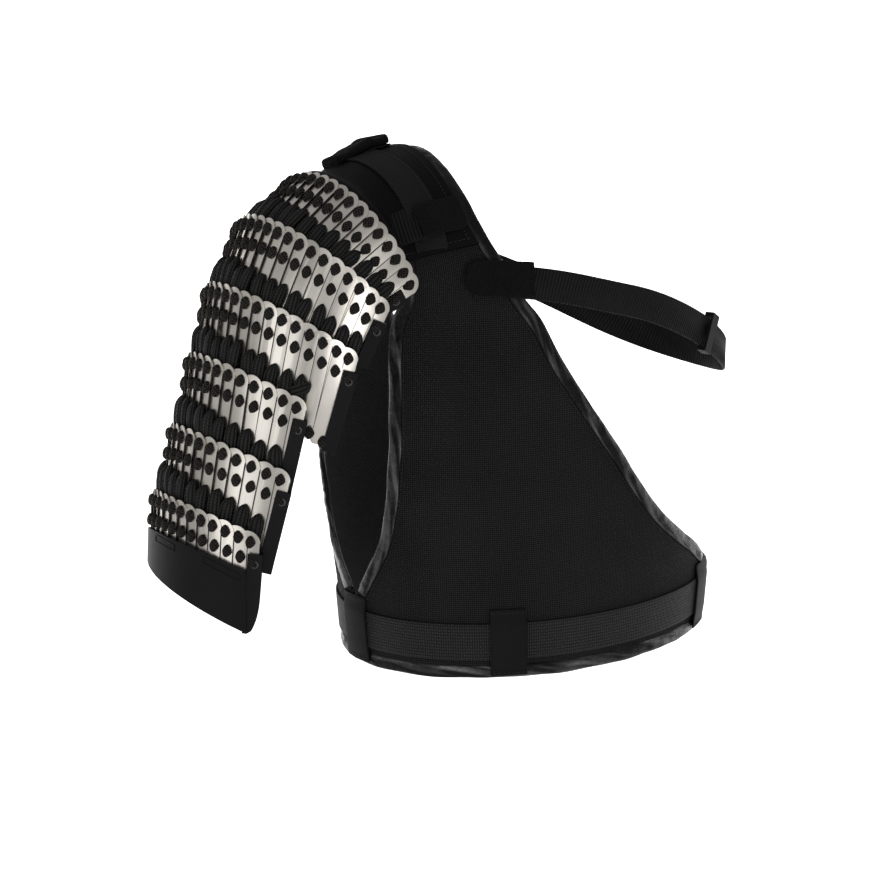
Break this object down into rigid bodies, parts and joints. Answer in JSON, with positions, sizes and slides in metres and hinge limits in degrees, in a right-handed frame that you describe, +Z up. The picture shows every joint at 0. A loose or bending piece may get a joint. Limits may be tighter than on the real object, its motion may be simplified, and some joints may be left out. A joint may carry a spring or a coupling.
{
  "type": "tactical shoulder armour",
  "caption": "Laced lamellar shoulder guard of overlapping steel scales on a black half vest with a belt, chest strap and shoulder tabs.",
  "frame": {"origin": "where the vest sits on the crest of the wearer's right shoulder", "axes": "+Z up, the wearer faces -Y and the wearer's left is +X"},
  "size_m": [0.5347, 0.2556, 0.4208],
  "materials": {
    "steel": "satin",
    "moulded_plastic": "matte",
    "woven_nylon": "coarse plain weave",
    "satin_binding": "satin",
    "webbing": "ribbed weave",
    "flap_cloth": "fine weave",
    "hook_and_loop": "fuzzy",
    "braided_cord": "braided"
  },
  "bodies": {
    "root": {"back_armhole_binding": "satin_binding", "back_edge_binding": "satin_binding", "back_hem_binding": "satin_binding", "back_panel": "woven_nylon", "belt": "webbing", "belt_buckle": "moulded_plastic", "belt_loop_back": "webbing", "belt_loop_back_left": "webbing", "belt_loop_front": "webbing", "belt_loop_left": "webbing", "belt_loop_side": "webbing", "bottom_plate": "moulded_plastic", "chest_strap": "webbing", "chest_strap_tab": "hook_and_loop", "front_armhole_binding": "satin_binding", "front_edge_binding": "satin_binding", "front_hem_binding": "satin_binding", "front_panel": "woven_nylon", "front_strip_1": "moulded_plastic", "front_strip_2": "moulded_plastic", "front_strip_3": "moulded_plastic", "front_strip_4": "moulded_plastic", "front_strip_5": "moulded_plastic", "front_strip_6": "moulded_plastic", "front_tab": "hook_and_loop", "lacing_1": "braided_cord", "lacing_2": "braided_cord", "lacing_3": "braided_cord", "lacing_4": "braided_cord", "lacing_5": "braided_cord", "loop_tape": "hook_and_loop", "rear_strip_1": "moulded_plastic", "rear_strip_2": "moulded_plastic", "rear_strip_3": "moulded_plastic", "rear_strip_4": "moulded_plastic", "rear_strip_5": "moulded_plastic", "rear_strip_6": "moulded_plastic", "rear_tab": "hook_and_loop", "scale_row_1": "steel", "scale_row_2": "steel", "scale_row_3": "steel", "scale_row_4": "steel", "scale_row_5": "steel", "scale_row_6": "steel", "shoulder_flap": "flap_cloth", "strap_slider": "moulded_plastic"}
  },
  "joints": []
}
